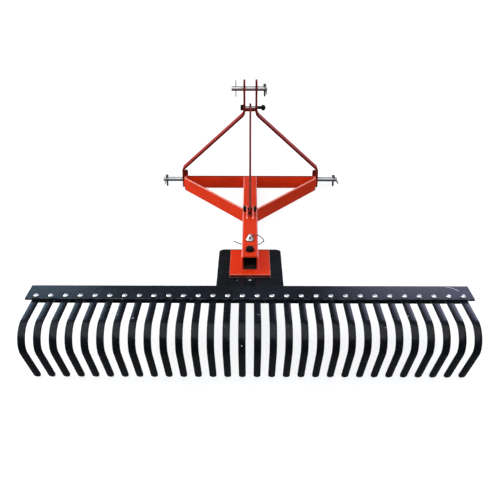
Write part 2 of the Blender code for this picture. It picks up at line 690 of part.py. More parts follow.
def make_top_clip(x):
    """A hairpin clip: one straight leg down through the top pin, one leg bowed round it."""
    half = CLIP_LEG / 2
    bow = TOP_PIN_DIAMETER / 2 + CLIP_WIRE
    y, z = MAST_Y, TOP_PIN_Z
    turn = bow * 0.6
    legs = [
        (x, y, z - half), (x, y, z), (x, y, z + half - turn), (x, y + turn / 2, z + half),
        (x, y + 1.3 * turn, z + half - turn), (x, y + bow, z + half * 0.3), (x, y + bow + CLIP_WIRE / 2, z),
        (x, y + bow, z - half * 0.35), (x, y + bow * 0.75, z - half * 0.6), (x, y + bow * 1.3, z - half * 0.85),
    ]
    return tube_along("top_pin_clip", smooth_route(legs, 4), CLIP_WIRE, ZINC_PLATE)


def make_lock_wire():
    """Spring wire from the lock pin's eye, over the boom's right side, under it and out to the left."""
    eye_z = TUBE_TOP + GAP + LOCK_HEAD_HEIGHT / 2
    side = TUBE_SIDE / 2
    over = TUBE_TOP + WIRE_DIAMETER
    under = TUBE_BOTTOM - WIRE_DIAMETER / 2 - GAP
    half_head = LOCK_HEAD_DIAMETER / 2
    route = [
        (0, LOCK_PIN_Y - half_head * 0.4, eye_z), (0, LOCK_PIN_Y + half_head * 0.9, eye_z),
        (side * 0.35, LOCK_PIN_Y + half_head * 1.6, eye_z * 0.5 + over * 0.5),
        (side + 0.003, LOCK_PIN_Y + 0.030, over), (side + 0.024, LOCK_PIN_Y + 0.042, TUBE_TOP * 0.68),
        (side + 0.017, LOCK_PIN_Y + 0.066, TUBE_TOP * 0.33), (side + 0.006, LOCK_PIN_Y + 0.086, under),
        (side * 0.4, LOCK_PIN_Y + 0.096, under), (-side * 0.4, LOCK_PIN_Y + 0.092, under),
        (-side - 0.006, LOCK_PIN_Y + 0.092, under), (-side - 0.038, LOCK_PIN_Y + 0.112, under + 0.003),
    ]
    return tube_along("lock_wire", smooth_route(route, 4), WIRE_DIAMETER, ZINC_PLATE)


# Assembly

make_beam()
make_swivel_plate()
make_rib("left_rib", -RIB_X)
make_rib("right_rib", RIB_X)
TINES = make_tines()

make_pivot_plate()
make_kingpin()
make_lock_pin()
make_lock_wire()
make_boom_tube()
FRONT_PIECES = [make_crossbar()]
for side_name, side in (("left", -1), ("right", 1)):
    FRONT_PIECES.append(make_diagonal(f"{side_name}_diagonal", side))
    FRONT_PIECES.append(make_mast_bar(f"{side_name}_mast_bar", side))
    make_corner_lug(f"{side_name}_corner_lug", side)
    make_brace_lug(f"{side_name}_brace_lug", side)
    face = side * HITCH_SPREAD / 2
    inner_end = side * (MAST_INNER_X + GAP)
    outer_end = face + side * LOWER_PIN_REACH
    linch_x = outer_end - side * LINCH_END_MARGIN
    make_hitch_pin(
        f"{side_name}_lower_pin", min(inner_end, outer_end), max(inner_end, outer_end),
        MAST_Y, LOWER_PIN_Z, LOWER_PIN_DIAMETER, [(linch_x, LINCH_DIAMETER)],
    )
    make_linch_pin(f"{side_name}_linch_pin", linch_x, MAST_Y, LOWER_PIN_Z, LOWER_PIN_DIAMETER)

make_crosspiece()
make_brace()
THROAT_FACE = MAST_THROAT / 2 + BAR_THICKNESS
make_cross_bolt(
    "mast_bolt", (MAST_Y, MAST_BOLT_Z), MAST_BOLT_DIAMETER, MAST_BOLT_FLATS, MAST_BOLT_HEAD,
    MAST_BOLT_NUT, -THROAT_FACE, THROAT_FACE, MAST_BOLT_THREAD, BLACK_OXIDE,
)
LUG_FACE = LUG_GAP / 2 + LUG_THICKNESS
make_cross_bolt(
    "lug_bolt", (LUG_BOLT_Y, LUG_BOLT_Z), LUG_BOLT_DIAMETER, LUG_BOLT_FLATS, LUG_BOLT_HEAD,
    LUG_BOLT_HEAD, -LUG_FACE, LUG_FACE, 0, BLACK_OXIDE,
)
TOP_LINCH_X = TOP_PIN_RIGHT - TOP_LINCH_END_MARGIN
TOP_CLIP_X = -TOP_PIN_LEFT + CLIP_END_MARGIN
make_hitch_pin(
    "top_pin", -TOP_PIN_LEFT, TOP_PIN_RIGHT, MAST_Y, TOP_PIN_Z, TOP_PIN_DIAMETER,
    [(TOP_LINCH_X, LINCH_DIAMETER), (TOP_CLIP_X, CLIP_WIRE)],
)
make_linch_pin("top_linch_pin", TOP_LINCH_X, MAST_Y, TOP_PIN_Z, TOP_PIN_DIAMETER)
make_top_clip(TOP_CLIP_X)


# Stand: tip the rake until the tine tips and the front of the frame touch the same floor

def level_points(objects):
    graph = bpy.context.evaluated_depsgraph_get()
    points = []
    for obj in objects:
        shape = obj.evaluated_get(graph)
        mesh = shape.to_mesh()
        points += [shape.matrix_world @ vertex.co for vertex in mesh.vertices]
        shape.to_mesh_clear()
    return points


def parking_pitch():
    """The angle at which the lowest point of the tines and that of the front are equally low."""
    tine_points, front_points = level_points(TINES[:1]), level_points(FRONT_PIECES)
    pitch = 0.0
    for _ in range(12):
        def height(point):
            return point.z * math.cos(pitch) - point.y * math.sin(pitch)
        rear, front = min(tine_points, key=height), min(front_points, key=height)
        pitch = math.atan2(front.z - rear.z, front.y - rear.y)
    return pitch


bpy.context.view_layer.update()
TIP = Matrix.Rotation(-parking_pitch(), 4, "X")
SOLIDS = [obj for obj in bpy.context.scene.objects if obj.type in ("MESH", "CURVE") and not obj.hide_render]
TIPPED = [TIP @ point for point in level_points(SOLIDS)]
LOW = Vector([min(point[axis] for point in TIPPED) for axis in range(3)])
HIGH = Vector([max(point[axis] for point in TIPPED) for axis in range(3)])
STAND.matrix_world = Matrix.Translation((-(LOW.x + HIGH.x) / 2, -(LOW.y + HIGH.y) / 2, -LOW.z)) @ TIP
bpy.context.view_layer.update()
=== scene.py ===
import json
import math

import bmesh
import bpy
from mathutils import Matrix, Vector


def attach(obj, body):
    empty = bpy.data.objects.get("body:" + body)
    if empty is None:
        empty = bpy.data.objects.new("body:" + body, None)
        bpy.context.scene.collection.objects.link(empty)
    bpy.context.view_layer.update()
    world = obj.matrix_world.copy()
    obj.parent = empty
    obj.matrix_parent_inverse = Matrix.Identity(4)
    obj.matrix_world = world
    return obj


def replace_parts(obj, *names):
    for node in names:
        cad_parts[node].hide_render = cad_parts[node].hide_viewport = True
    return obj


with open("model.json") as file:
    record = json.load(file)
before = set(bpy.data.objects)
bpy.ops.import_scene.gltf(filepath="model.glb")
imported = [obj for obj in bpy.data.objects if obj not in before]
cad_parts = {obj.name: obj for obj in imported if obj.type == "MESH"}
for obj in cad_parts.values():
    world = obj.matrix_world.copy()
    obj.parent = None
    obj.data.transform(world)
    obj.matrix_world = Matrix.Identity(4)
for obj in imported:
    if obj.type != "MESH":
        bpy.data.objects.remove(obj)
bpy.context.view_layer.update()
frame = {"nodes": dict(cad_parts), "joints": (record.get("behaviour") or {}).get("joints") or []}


# Rake beam: a rolled angle iron with its leg at the front, cut square at both ends and drilled for
# the tines. Semi-gloss black powder coat over mild steel. The rake is laid out level, with its origin
# on the beam between the two middle tines, and `level` tips it nose down onto the floor.

kingpin = frame["joints"][0]
kingpin_up = Vector(kingpin["axis"]).normalized()
kingpin_y = 0.2137
swivel_top = -0.006
rake_right = Vector((1, 0, 0))
level = Matrix((rake_right, kingpin_up.cross(rake_right), kingpin_up)).transposed().to_4x4()
level.translation = Vector(kingpin["pos_m"]) - level.to_3x3() @ Vector((0, kingpin_y, swivel_top))
unlevel = level.inverted()


class Layer:
    """One socket of a paint or metal finish. Sums on it add Math nodes; make() adds any other node."""

    def __init__(self, tree, socket=None):
        self.tree, self.socket = tree, socket

    def make(self, kind, settings={}, inputs={}, output=0):
        node = self.tree.nodes.new(kind)
        for name, value in settings.items():
            setattr(node, name, value)
        for name, value in inputs.items():
            if isinstance(value, Layer):
                self.tree.links.new(value.socket, node.inputs[name])
            else:
                node.inputs[name].default_value = value
        return Layer(self.tree, node.outputs[output])

    def math(self, operation, *values):
        return self.make("ShaderNodeMath", {"operation": operation}, dict(enumerate(values)))

    def __add__(self, other):
        return self.math("ADD", self, other)

    def __sub__(self, other):
        return self.math("SUBTRACT", self, other)

    def __rsub__(self, other):
        return self.math("SUBTRACT", other, self)

    def __mul__(self, other):
        return self.math("MULTIPLY", self, other)

    def __lt__(self, other):
        return self.math("LESS_THAN", self, other)

    __radd__, __rmul__ = __add__, __mul__

    def between(self, low, high):
        """0 below low, 1 above high, and a smooth rise between them."""
        smooth = {"interpolation_type": "SMOOTHSTEP"}
        return self.make("ShaderNodeMapRange", smooth, {0: self, 1: low, 2: high})

    def blend(self, under, over):
        """The colour under, covered by the colour over where this layer is 1."""
        return self.make("ShaderNodeMix", {"data_type": "RGBA"}, {0: self, 6: under, 7: over}, 2)

    def noise(self, scale, detail, roughness=0.55):
        return self.make("ShaderNodeTexNoise", {}, {
            "Vector": self, "Scale": scale, "Detail": detail, "Roughness": roughness})

    def stretched(self, scale):
        return self.make("ShaderNodeMapping", {}, {"Vector": self, "Scale": scale})

    def specks(self, scale, size, share):
        """Small round specks, in the given share of cells of a cell pattern."""
        cells = {"Vector": self, "Scale": scale}
        near = self.make("ShaderNodeTexVoronoi", {}, cells)
        cell_colour = self.make("ShaderNodeTexVoronoi", {}, cells, 1)
        chance = self.make("ShaderNodeSeparateColor", {}, {0: cell_colour})
        return (near < size) * (chance < share)

    def bump(self, strength, distance):
        """A normal, bent as if this layer were that many metres high."""
        relief = {"Strength": strength, "Distance": distance, "Height": self}
        return self.make("ShaderNodeBump", {}, relief)

    def lay_on(self, socket):
        self.tree.links.new(self.socket, socket)


def new_finish(name, **fixed):
    """A material, its shader's sockets with the fixed ones set, and a layer of object coordinates."""
    material = bpy.data.materials.new(name)
    material.use_nodes = True
    tree = material.node_tree
    shader = tree.nodes["Principled BSDF"]
    for socket, value in fixed.items():
        shader.inputs[socket.replace("_", " ")].default_value = value
    return material, shader.inputs, Layer(tree).make("ShaderNodeTexCoord", output="Object")


def powder_coat(name, wear_and_highlight, dark=(0.0025, 0.0032, 0.0045, 1), light=(0.0060, 0.0082, 0.0120, 1),
                gloss=0.17):
    """Black powder coat: faintly pebbled, with dull patches, dust, hairline scuffs and a few chips.

    It runs from dark to light in patches. The second argument is how much of it turns grey in noisy patches:
    a little real wear on faces, and a painted highlight on the edge finishes.
    """
    material, shader, place = new_finish(name, Specular_IOR_Level=gloss)
    patches = place.noise(5, 5, 0.62)
    dust = place.noise(38, 4, 0.7).between(0.52, 0.78)
    scuffs = place.stretched((9, 130, 130)).noise(2.2, 4, 0.7).between(0.62, 0.70)
    chips = place.specks(34, 0.085, 0.07)
    colour = patches.between(0.35, 0.68).blend(dark, light)
    colour = (dust * 0.03).blend(colour, (0.085, 0.088, 0.092, 1))
    colour = (scuffs * 0.05).blend(colour, (0.10, 0.105, 0.115, 1))
    # Grey patches: real wear at small amounts, a painted highlight at the large amounts of the edge
    # finishes.
    pale_patches = wear_and_highlight * place.noise(60, 3).between(0.38, 0.66)
    colour = pale_patches.blend(colour, (0.46, 0.48, 0.52, 1))
    chips.blend(colour, (0.62, 0.61, 0.58, 1)).lay_on(shader["Base Color"])
    roughness = 0.23 + patches * 0.06 + dust * 0.05 + scuffs * 0.06
    roughness.lay_on(shader["Roughness"])
    pebbles = place.noise(520, 2) * 0.6 + place.noise(1400, 2) * 0.4 - chips * 0.5
    pebbles.bump(0.10, 0.0006).lay_on(shader["Normal"])
    return material


def let_go():
    """Leaves edit mode, with nothing selected."""
    if bpy.context.object and bpy.context.object.mode != "OBJECT":
        bpy.ops.object.mode_set(mode="OBJECT")
    bpy.ops.object.select_all(action="DESELECT")


def hold(obj):
    """Makes obj the only selected piece, and the active one."""
    let_go()
    obj.select_set(True)
    bpy.context.view_layer.objects.active = obj


def new_piece(name, data):
    """An object for a mesh, curve, light or camera, which takes its name, linked into the scene."""
    obj = bpy.data.objects.new(name, data)
    data.name = name
    bpy.context.scene.collection.objects.link(obj)
    return obj


def cad_copy(node, name):
    """A copy of a CAD piece, its triangles merged into whole faces, that stands for it."""
    obj = new_piece(name, frame["nodes"][node].data.copy())
    obj.data.materials.clear()
    hold(obj)
    bpy.ops.mesh.customdata_custom_splitnormals_clear()
    bpy.ops.object.mode_set(mode="EDIT")
    bpy.ops.mesh.select_all(action="SELECT")
    bpy.ops.mesh.remove_doubles(threshold=1e-5)
    bpy.ops.mesh.dissolve_limited(angle_limit=math.radians(1))
    bpy.ops.object.mode_set(mode="OBJECT")
    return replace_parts(obj, node)


def break_edges(obj, width):
    """Rounds the sharp edges, keeps the faces between them flat, and marks the rounds as slot 1."""
    hold(obj)
    for _ in range(2):
        obj.data.materials.append(None)
    bevel = obj.modifiers.new("edges", "BEVEL")
    bevel.width = width
    bevel.segments = 2
    bevel.angle_limit = math.radians(32)
    bevel.material = 1
    bpy.ops.object.modifier_apply(modifier="edges")
    bpy.ops.object.shade_smooth_by_angle(angle=math.radians(42))
    flat = obj.modifiers.new("flat", "WEIGHTED_NORMAL")
    flat.keep_sharp = True
    bpy.ops.object.modifier_apply(modifier="flat")


def fit(obj, body, slot, *finishes):
    """Gives a piece its finishes, and the CAD body that it moves with."""
    for i, finish in enumerate(finishes):
        if i < len(obj.data.materials):
            obj.data.materials[i] = finish
        else:
            obj.data.materials.append(finish)
    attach(obj, body)


black_coat = powder_coat("black_powder_coat", 0.006)
# Pale grey edge finish for the black pieces' rounded edges: a painted highlight.
black_coat_edge_highlight = powder_coat("black_powder_coat_edge_highlight", 0.22)


def scratched_coat():
    """The beam's coat, a little paler, with one curved scrape near its right end."""
    material = powder_coat("beam_powder_coat", 0.006, (0.0038, 0.0054, 0.0076, 1),
                           (0.0085, 0.0120, 0.0170, 1), 0.13)
    tree = material.node_tree
    base = tree.nodes["Principled BSDF"].inputs["Base Color"]
    under = Layer(tree, base.links[0].from_socket)
    place = Layer(tree).make("ShaderNodeTexCoord", output="Object")
    scrape_middle = level @ Vector((0.7336, -0.0011, 0))
    scrape_radius = 0.060
    offset = place.make("ShaderNodeVectorMath", {"operation": "SUBTRACT"}, {0: place, 1: scrape_middle})
    away = place.make("ShaderNodeVectorMath", {"operation": "LENGTH"}, {0: offset}, "Value")
    across = place.make("ShaderNodeSeparateXYZ", {}, {0: offset}, "X")
    width = place.noise(90, 2) * 0.0030
    on_arc = away.math("ABSOLUTE", away - scrape_radius) < width
    scrape = on_arc * across.between(0.008, 0.016) * (across < 0.051)
    (scrape * 0.85).blend(under, (0.42, 0.44, 0.50, 1)).lay_on(base)
    return material


beam = cad_copy("rake_beam", "beam_angle_iron")
break_edges(beam, 0.0012)
# The beam's rounded edges take the pale edge finish, a painted highlight.
fit(beam, "rake_head", "black_coat", scratched_coat(), black_coat_edge_highlight)


# Tines: thirty flat spring-steel bars, coiled back through a wide bend, with a round tip. Each is
# rolled, hot bent and powder coated like the beam, and lies under the flange with its bolt through it.

tine_count = 30
tine_pitch = 0.0546
tine_width = 0.026
tine_thick = 0.008
tine_middle = -0.0123
tine_front = 0.050
tine_seat = 0.090                # its first stretch, under the flange
tine_tail = -0.147               # where the bend begins
tine_bend = 0.070
tine_lean = math.radians(26)
tine_tip = -0.2783
tine_places = [(i - (tine_count - 1) / 2) * tine_pitch for i in range(tine_count)]


def begin(name, add, **settings):
    """Adds a primitive by itself, puts its size and place into its mesh, and opens it for editing."""
    let_go()
    add(**settings)
    obj = bpy.context.object
    obj.name = obj.data.name = name
    bpy.ops.object.transform_apply(location=True, rotation=True, scale=True)
    bpy.ops.object.mode_set(mode="EDIT")
    bpy.ops.mesh.select_all(action="SELECT")
    return obj


def pull(move, grow=(1, 1, 1), about=(0, 0, 0)):
    """Extrudes what is selected and scales its new end about a point."""
    bpy.ops.mesh.extrude_region_move(TRANSFORM_OT_translate={"value": move})
    if grow != (1, 1, 1):
        bpy.ops.transform.resize(value=grow, center_override=about)


def pick_edges(obj, test):
    """In edit mode, selects only the edges whose middle passes test."""
    bpy.ops.mesh.select_mode(type="EDGE")
    bpy.ops.mesh.select_all(action="DESELECT")
    shape = bmesh.from_edit_mesh(obj.data)
    for edge in shape.edges:
        if test((edge.verts[0].co + edge.verts[1].co) / 2):
            edge.select_set(True)
    shape.select_flush_mode()
    bmesh.update_edit_mesh(obj.data)


def close_up():
    """Fills the open ends, turns all faces outwards and goes back to object mode."""
    bpy.ops.mesh.select_all(action="SELECT")
    bpy.ops.mesh.remove_doubles(threshold=1e-6)
    bpy.ops.mesh.fill_holes(sides=0)
    bpy.ops.mesh.select_all(action="SELECT")
    bpy.ops.mesh.normals_make_consistent(inside=False)
    bpy.ops.object.mode_set(mode="OBJECT")


def copy_to(pattern, name, place):
    """A copy with a mesh of its own, moved to its place on the level rake and tipped with it."""
    obj = new_piece(name, pattern.data.copy())
    obj.data.transform(level @ place)
    return obj


tine_coat = powder_coat("tine_powder_coat", 0.006, (0.0020, 0.0026, 0.0040, 1),
                        (0.0048, 0.0060, 0.0110, 1), 0.18)
tine_start = (0, tine_front, tine_middle)
tine = begin("tine", bpy.ops.mesh.primitive_plane_add, size=1, location=tine_start,
             rotation=(math.pi / 2, 0, 0))
bpy.ops.transform.resize(value=(tine_width, 1, tine_thick), center_override=tine_start)
bpy.ops.mesh.delete(type="ONLY_FACE")
bpy.ops.mesh.select_all(action="SELECT")
bpy.ops.mesh.bevel(offset=0.0017, segments=2, affect="VERTICES")
pull((0, -tine_seat, 0))
pull((0, tine_tail - tine_front + tine_seat, 0))
bend_middle = Vector((0, tine_tail, tine_middle - tine_bend))
bpy.ops.mesh.spin(steps=26, angle=-math.pi / 2 - tine_lean, axis=(1, 0, 0), center=bend_middle)
leg = Vector((0, math.sin(tine_lean), -math.cos(tine_lean)))
bend_end = bend_middle + tine_bend * Vector((0, leg.z, -leg.y))
pull(leg * ((bend_end.z - tine_tip) / math.cos(tine_lean) - tine_width / 2))
tip_steps = 6
blunt = 0.35                     # the last step stops this much of a step short of a point
reach = 0.0
width = 1.0
for step in range(1, tip_steps + 1):
    angle = step * math.pi / 2 / (tip_steps + blunt)
    ahead = leg * (math.sin(angle) * tine_width / 2 - reach)
    reach = math.sin(angle) * tine_width / 2
    pull(ahead, (math.cos(angle) / width, 1, 1))
    width = math.cos(angle)
close_up()
for number, x in enumerate(tine_places, 1):
    blade = copy_to(tine, f"tine_blade_{number:02d}", Matrix.Translation((x, 0, 0)))
    hold(blade)
    bpy.ops.object.shade_smooth_by_angle(angle=math.radians(40))
    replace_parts(blade, f"tine_{number:02d}")
    fit(blade, "rake_head", "black_coat", tine_coat)
bpy.data.objects.remove(tine)


# Tine bolts: one round-headed carriage bolt a tine, dropped through the flange, with a flat washer
# and a hexagon nut below. Zinc-plated steel, put in after the beam and the tines were coated.

def shade(colour, share):
    """The colour with its three parts scaled."""
    return (*(share * part for part in colour[:3]), 1)


def zinc_plate(name, grime, bright, dull):
    """Zinc plate: bare metal with a fine grain, dull blooms and a share of grime.

    Bright scales how light the metal is, and dull is how rough it is where it shines most.
    """
    material, shader, place = new_finish(name)
    bloom = place.noise(70, 4, 0.6)
    grain = place.noise(900, 2)
    dirt = place.noise(210, 4, 0.7).between(0.50, 0.72) * grime
    dark = shade((0.46, 0.47, 0.48), bright)
    light = shade((0.72, 0.72, 0.71), bright)
    colour = bloom.between(0.3, 0.7).blend(dark, light)
    dirt.blend(colour, (0.10, 0.085, 0.07, 1)).lay_on(shader["Base Color"])
    (1 - dirt * 0.85).lay_on(shader["Metallic"])
    (dull + bloom * 0.20 + dirt * 0.3).lay_on(shader["Roughness"])
    (grain + bloom).bump(0.12, 0.0004).lay_on(shader["Normal"])
    return material


def turn_up(name, rings, sides):
    """A round piece raised along Z ring by ring, from (height, radius) pairs, closed at both ends."""
    (height, radius), *rest = rings
    obj = begin(name, bpy.ops.mesh.primitive_circle_add, vertices=sides, radius=radius,
                location=(0, 0, height))
    for next_height, next_radius in rest:
        grow = next_radius / radius
        pull((0, 0, next_height - height), (grow, grow, 1), (0, 0, next_height))
        height, radius = next_height, next_radius
    close_up()
    return obj


def cut_with(obj, cutter, operation):
    """Cuts a piece with another, which is used up."""
    hold(obj)
    cut = obj.modifiers.new("cut", "BOOLEAN")
    cut.operation = operation
    cut.object = cutter
    cut.solver = "EXACT"
    bpy.ops.object.modifier_apply(modifier="cut")
    bpy.data.objects.remove(cutter)


def hexagon(name, flats, low, high, both=False):
    """A hexagon head or nut, its corners turned down to a cone at the top, and below too for both."""
    corner = flats / math.sqrt(3)
    turned_face = flats * 0.48
    drop = (corner - turned_face) * 0.62
    obj = begin(name, bpy.ops.mesh.primitive_cylinder_add, vertices=6, radius=corner, depth=high - low,
                location=(0, 0, (low + high) / 2))
    bpy.ops.object.mode_set(mode="OBJECT")
    if both:
        rings = [(low, turned_face), (low + drop, corner)]
    else:
        rings = [(low - 0.001, corner * 1.02), (low, corner * 1.02)]
    turning = turn_up("turning", rings + [(high - drop, corner), (high, turned_face)], 48)
    cut_with(obj, turning, "INTERSECT")
    return obj


def join(name, *parts):
    """Makes separate turned parts one piece."""
    hold(parts[0])
    for part in parts:
        part.select_set(True)
    bpy.ops.object.join()
    parts[0].name = parts[0].data.name = name
    bpy.ops.object.shade_smooth_by_angle(angle=math.radians(38))
    return parts[0]


zinc = zinc_plate("zinc_bright", 0.25, 0.72, 0.26)
zinc_bolt = zinc_plate("zinc_bolt", 0.30, 1.3, 0.28)
dull_zinc = zinc_plate("zinc_dull", 0.9, 0.20, 0.22)
bolt_row = -0.0070
bolt_turn = math.radians(37)     # how much further each bolt is turned than the last
tine_bolt = join(
    "tine_bolt",
    turn_up("dome", [
        (-0.0318, 0.0040), (-0.0308, 0.0050), (-0.0002, 0.0050), (-0.0001, 0.0093), (0.0009, 0.0095),
        (0.0022, 0.0088), (0.0034, 0.0073), (0.0043, 0.0052), (0.0048, 0.0026), (0.0049, 0.0006)], 24),
    turn_up("washer", [(-0.0183, 0.0100), (-0.0180, 0.0103), (-0.0166, 0.0103), (-0.0163, 0.0100)], 24),
    hexagon("nut", 0.017, -0.0266, -0.0183, True),
)
for i, x in enumerate(tine_places):
    turned = Matrix.Rotation(bolt_turn * i, 4, "Z")
    bolt = copy_to(tine_bolt, f"tine_bolt_{i + 1:02d}", Matrix.Translation((x, bolt_row, 0)) @ turned)
    fit(bolt, "rake_head", "zinc_plate", zinc_bolt)
bpy.data.objects.remove(tine_bolt)


# Swivel plate and its ribs: 10 mm plate welded to the beam's leg, on which the boom turns, and two
# tapered ribs below. Flame-cut, drilled for kingpin and lock pin, welded up and powder coated.

ripple_length = 0.0042


def weld_bead(name, start, end, radius, body="rake_head", slot="black_coat", finish=black_coat):
    """A run of weld along a corner, with a ripple every few millimetres and its ends drawn down."""
    start, end = Vector(start), Vector(end)
    ripples = max(2, round((end - start).length / ripple_length))
    pitch = (end - start).length / ripples
    bead = begin(name, bpy.ops.mesh.primitive_circle_add, vertices=10, radius=radius * 0.88,
                 rotation=(0, math.pi / 2, 0))
    along = 0.0
    for step, grow in ((0.45, 1.20), (0.35, 0.95), (0.20, 1 / (1.20 * 0.95))):
        along += step * pitch
        pull((step * pitch, 0, 0), (1, grow, grow), (along, 0, 0))
    hold(bead)
    row = bead.modifiers.new("row", "ARRAY")
    row.count = ripples
    row.use_relative_offset = False
    row.use_constant_offset = True
    row.constant_offset_displace = (pitch, 0, 0)
    row.use_merge_vertices = True
    row.merge_threshold = 1e-5
    bpy.ops.object.modifier_apply(modifier="row")
    bpy.ops.object.mode_set(mode="EDIT")
    bpy.ops.mesh.select_all(action="SELECT")
    bpy.ops.transform.vertex_random(offset=radius * 0.09, seed=ripples)
    for at, out in ((0, -1), (ripples * pitch, 1)):
        pick_edges(bead, lambda middle: abs(middle.x - at) < pitch * 0.12)
        pull((out * radius * 0.5, 0, 0), (1, 0.6, 0.6), (at, 0, 0))
    close_up()
    turned = (end - start).to_track_quat("X", "Z").to_matrix().to_4x4()
    bead.data.transform(level @ Matrix.Translation(start) @ turned)
    bead.data.shade_smooth()
    fit(bead, body, slot, finish)


swivel_back = 0.0653             # its rear edge, on the beam's leg
swivel_half = 0.129
rib_x = 0.060
rib_half = 0.004
rib_weld = 0.0034
rib_top = -0.0165
swivel_plate = cad_copy("swivel_plate", "swivel_bed")
break_edges(swivel_plate, 0.0026)
# Its rounded edges are turned pale grey, a painted highlight.
fit(swivel_plate, "rake_head", "black_coat", black_coat, powder_coat("swivel_bed_edge_highlight", 0.8))
for side, x in (("left", -1), ("right", 1)):
    rib = cad_copy(f"{side}_rib", f"{side}_gusset")
    break_edges(rib, 0.0010)
    # The ribs' rounded edges take the pale edge finish, a painted highlight.
    fit(rib, "rake_head", "black_coat", black_coat, black_coat_edge_highlight)
    for edge, out in (("inner", -1), ("outer", 1)):
        foot = x * (rib_x + out * rib_half)
        weld_bead(f"{side}_{edge}_gusset_weld", (foot, 0.072, rib_top), (foot, 0.292, rib_top), rib_weld)
        weld_bead(f"{side}_{edge}_leg_weld", (foot, 0.0655, -0.068), (foot, 0.0655, -0.022), rib_weld)
bed_weld_end = swivel_half - 0.004
weld_bead("swivel_bed_weld", (-bed_weld_end, swivel_back, swivel_top),
          (bed_weld_end, swivel_back, swivel_top), 0.0042)


# Boom: square tube with rounded corners, over the pivot plate that turns on the swivel bed. Both are
# in gloss orange-red enamel, sprayed after welding; the inside of the tube is bare, and darkened further
# as painted shade. Their rounded edges and the boom's upper corners carry a pale painted highlight, and
# the pivot plate's upright sides a dark painted shade.

boom_half = 0.0325
boom_top = 0.0718
boom_low = boom_top - 2 * boom_half
boom_middle = (boom_top + boom_low) / 2
tube_wall = 0.006
pivot_top = 0.0065


def enamel(name, painted_light_share, painted_light_colour=(0.95, 0.52, 0.45, 1), tone=(0.68, 0.034, 0.005, 1)):
    """Gloss orange-red enamel: slight orange peel and uneven cover, dust nibs and fine scuffs.

    The second argument is how far its tone turns, in noisy patches, towards the colour given after it: pale
    for a painted highlight on edges and tops, dark red for painted shade.
    """
    material, shader, place = new_finish(name, Coat_Roughness=0.12, Specular_IOR_Level=0.18)
    cover = place.noise(9, 4, 0.6)
    scuffs = place.stretched((140, 14, 140)).noise(1.6, 4, 0.7).between(0.63, 0.72)
    nibs = place.specks(48, 0.06, 0.04)
    colour = cover.between(0.3, 0.72).blend(shade(tone, 0.84), tone)
    colour = (scuffs * 0.22).blend(colour, (0.78, 0.12, 0.06, 1))
    # Painted light in noisy patches: pale for highlights on edges and tops, dark red for shade.
    colour = (painted_light_share * place.noise(75, 3).between(0.20, 0.50)).blend(colour, painted_light_colour)
    (nibs * 0.5).blend(colour, (0.20, 0.03, 0.02, 1)).lay_on(shader["Base Color"])
    (0.30 + cover * 0.12 + scuffs * 0.18).lay_on(shader["Roughness"])
    (0.10 - scuffs * 0.08).lay_on(shader["Coat Weight"])
    orange_peel = place.noise(260, 2) * 0.7 + place.noise(900, 2) * 0.2 + nibs * 0.6
    orange_peel.bump(0.13, 0.0008).lay_on(shader["Normal"])
    return material


def bare_shaded_bore():
    """The tube's inside: bare mill scale, gone brown in places, darkened to near black as painted shade in
    the bore.
    """
    material, shader, place = new_finish("bare_shaded_bore")
    scale = place.noise(45, 5, 0.7)
    browned = scale.between(0.3, 0.7)
    browned.blend((0.010, 0.008, 0.007, 1), (0.045, 0.022, 0.014, 1)).lay_on(shader["Base Color"])
    (0.55 + scale * 0.3).lay_on(shader["Roughness"])
    scale.bump(0.3, 0.001).lay_on(shader["Normal"])
    return material


red_enamel = enamel("red_enamel", 0.0)
# A pale copy of the enamel for rounded edges, upper corners and small welds: a painted highlight.
red_enamel_highlight = enamel("red_enamel_highlight", 0.75)
# A dark red copy of the enamel for narrow faces, rounded edges and the corner lugs: painted shade.
painted_shade_red = (0.085, 0.006, 0.004, 1)
painted_shade_enamel = enamel("red_enamel_sheared_edge", 0.80, painted_shade_red, (0.30, 0.013, 0.003, 1))
boom = cad_copy("boom_tube", "boom_square_tube")
bpy.ops.object.mode_set(mode="EDIT")


def boom_corner(middle, depth):
    """True on a long corner of the tube's outside, or of a square that deep inside it."""
    point = unlevel @ middle
    side = boom_half - depth
    height = (boom_top - boom_low) / 2 - depth
    return abs(abs(point.x) - side) < 1e-4 and abs(abs(point.z - boom_middle) - height) < 1e-4


for depth, radius in ((0, 0.0065), (tube_wall, 0.0030)):
    pick_edges(boom, lambda middle: boom_corner(middle, depth))
    bpy.ops.mesh.bevel(offset=radius, segments=5, affect="EDGES")
bpy.ops.object.mode_set(mode="OBJECT")
break_edges(boom, 0.0010)
fit(boom, "hitch_frame", "red_paint", red_enamel, red_enamel_highlight, bare_shaded_bore())
# The bore takes the bare, darkened finish; the upper rounded corners take the pale enamel, a painted
# highlight where light falls on them.
for face in boom.data.polygons:
    point = unlevel @ face.center
    facing = unlevel.to_3x3() @ face.normal
    inside = max(abs(point.x), abs(point.z - boom_middle)) < boom_half - tube_wall + 0.0008
    if inside and abs(facing.y) < 0.5:
        face.material_index = 2
    elif 0.42 < facing.z < 0.88 and abs(facing.y) < 0.3:
        face.material_index = 1

pivot_plate = cad_copy("pivot_plate", "pivot_bed")
break_edges(pivot_plate, 0.0026)
# Its rounded edges take the pale enamel, a painted highlight, and its upright sides the dark enamel, painted
# shade.
fit(pivot_plate, "hitch_frame", "red_paint", red_enamel, red_enamel_highlight, painted_shade_enamel)
for face in pivot_plate.data.polygons:
    if abs((unlevel.to_3x3() @ face.normal).z) < 0.1 and face.material_index == 0:
        face.material_index = 2


def frame_weld(name, start, end, radius, finish=red_enamel):
    """A painted run of weld on the hitch frame."""
    weld_bead(name, start, end, radius, "hitch_frame", "red_paint", finish)


